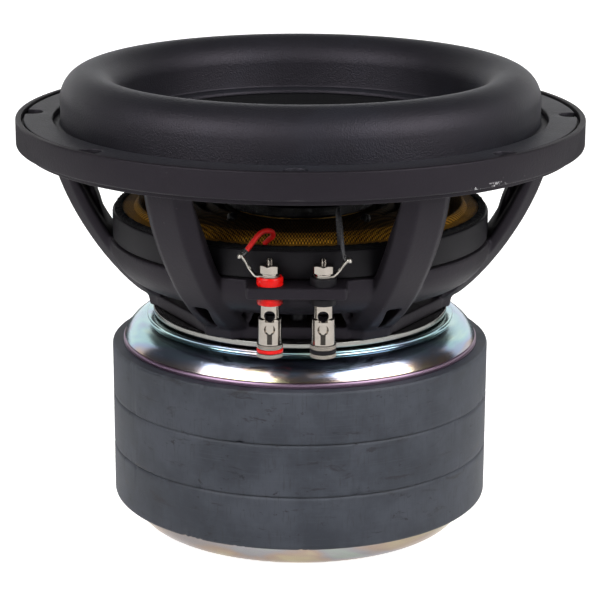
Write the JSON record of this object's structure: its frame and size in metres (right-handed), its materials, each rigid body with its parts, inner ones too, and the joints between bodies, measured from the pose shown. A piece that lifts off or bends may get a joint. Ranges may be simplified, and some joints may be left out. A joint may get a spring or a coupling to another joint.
{
  "type": "car subwoofer driver",
  "caption": "Round long-throw car subwoofer driver with a tall half-roll rubber surround, cast basket, stacked ferrite motor and sprung push terminals.",
  "frame": {"origin": "centre of the bolt circle, in the plane of the seat under the flange that meets the baffle", "axes": "+Z along the cone's axis towards the listener, -Y towards the front terminal pair, +X to the right of it"},
  "size_m": [0.324, 0.324, 0.2656],
  "materials": {
    "powder_coat": "satin",
    "pebbled_rubber": "matte",
    "black_plastic": "satin",
    "spider_cloth": "matte",
    "black_glue": "gloss",
    "cone_paper": "satin",
    "coil_former": "satin",
    "copper_wire": "satin",
    "zinc_steel": "satin",
    "ferrite": "matte",
    "aluminium": "satin",
    "black_mesh": "matte",
    "black_foam": "matte",
    "bright_steel": "satin",
    "black_steel": "satin",
    "nickel": "polished",
    "tinned_brass": "satin",
    "spring_steel": "satin",
    "red_plastic": "gloss",
    "red_sleeving": "satin",
    "black_braid": "satin"
  },
  "bodies": {
    "frame": {"basket": "powder_coat", "flange_gasket": "pebbled_rubber", "spider_spacer": "black_plastic", "spider_upper": "spider_cloth", "spider_lower": "spider_cloth", "spider_glue": "black_glue", "surround": "pebbled_rubber", "back_plate_and_pole": "zinc_steel", "magnet_lower": "ferrite", "magnet_middle": "ferrite", "magnet_upper": "ferrite", "top_plate": "zinc_steel", "shorting_ring": "aluminium", "vent_screen": "black_mesh", "motor_gasket": "black_foam", "adapter_ring": "bright_steel", "motor_bolts": "black_steel", "terminal_nuts": "nickel", "terminal_washers": "nickel", "post_front_red": "nickel", "collar_top_front_red": "red_plastic", "collar_low_front_red": "red_plastic", "lug_front_red": "tinned_brass", "spring_front_red": "spring_steel", "lead_front_red": "red_sleeving", "post_front_black": "nickel", "collar_top_front_black": "black_plastic", "collar_low_front_black": "black_plastic", "lug_front_black": "tinned_brass", "spring_front_black": "spring_steel", "lead_front_black": "black_braid", "post_rear_red": "nickel", "collar_top_rear_red": "red_plastic", "collar_low_rear_red": "red_plastic", "lug_rear_red": "tinned_brass", "spring_rear_red": "spring_steel", "lead_rear_red": "red_sleeving", "post_rear_black": "nickel", "collar_top_rear_black": "black_plastic", "collar_low_rear_black": "black_plastic", "lug_rear_black": "tinned_brass", "spring_rear_black": "spring_steel", "lead_rear_black": "black_braid"},
    "cone_assembly": {"cone": "cone_paper", "dust_cap": "cone_paper", "cone_neck_glue": "black_glue", "coil_former": "coil_former", "winding_inner": "copper_wire", "winding_outer": "copper_wire"},
    "push_front_red": {"sleeve_front_red": "nickel", "band_front_red": "red_plastic"},
    "push_front_black": {"sleeve_front_black": "nickel", "band_front_black": "black_plastic"},
    "push_rear_red": {"sleeve_rear_red": "nickel", "band_rear_red": "red_plastic"},
    "push_rear_black": {"sleeve_rear_black": "nickel", "band_rear_black": "black_plastic"}
  },
  "joints": [
    {"name": "cone_travel", "type": "slide", "parent": "frame", "child": "cone_assembly", "axis": [0, 0, 1], "range_m": [-0.022, 0.022], "stiffness_N_per_m": 9000, "deforming": ["surround", "spider_upper", "spider_lower"]},
    {"name": "push_front_red", "type": "slide", "parent": "frame", "child": "push_front_red", "axis": [0, 0, 1], "range_m": [0, 0.0072], "stiffness_N_per_m": 1000, "springref_m": -0.004, "deforming": ["spring_front_red"]},
    {"name": "push_front_black", "type": "slide", "parent": "frame", "child": "push_front_black", "axis": [0, 0, 1], "range_m": [0, 0.0072], "stiffness_N_per_m": 1000, "springref_m": -0.004, "deforming": ["spring_front_black"]},
    {"name": "push_rear_red", "type": "slide", "parent": "frame", "child": "push_rear_red", "axis": [0, 0, 1], "range_m": [0, 0.0072], "stiffness_N_per_m": 1000, "springref_m": -0.004, "deforming": ["spring_rear_red"]},
    {"name": "push_rear_black", "type": "slide", "parent": "frame", "child": "push_rear_black", "axis": [0, 0, 1], "range_m": [0, 0.0072], "stiffness_N_per_m": 1000, "springref_m": -0.004, "deforming": ["spring_rear_black"]}
  ]
}
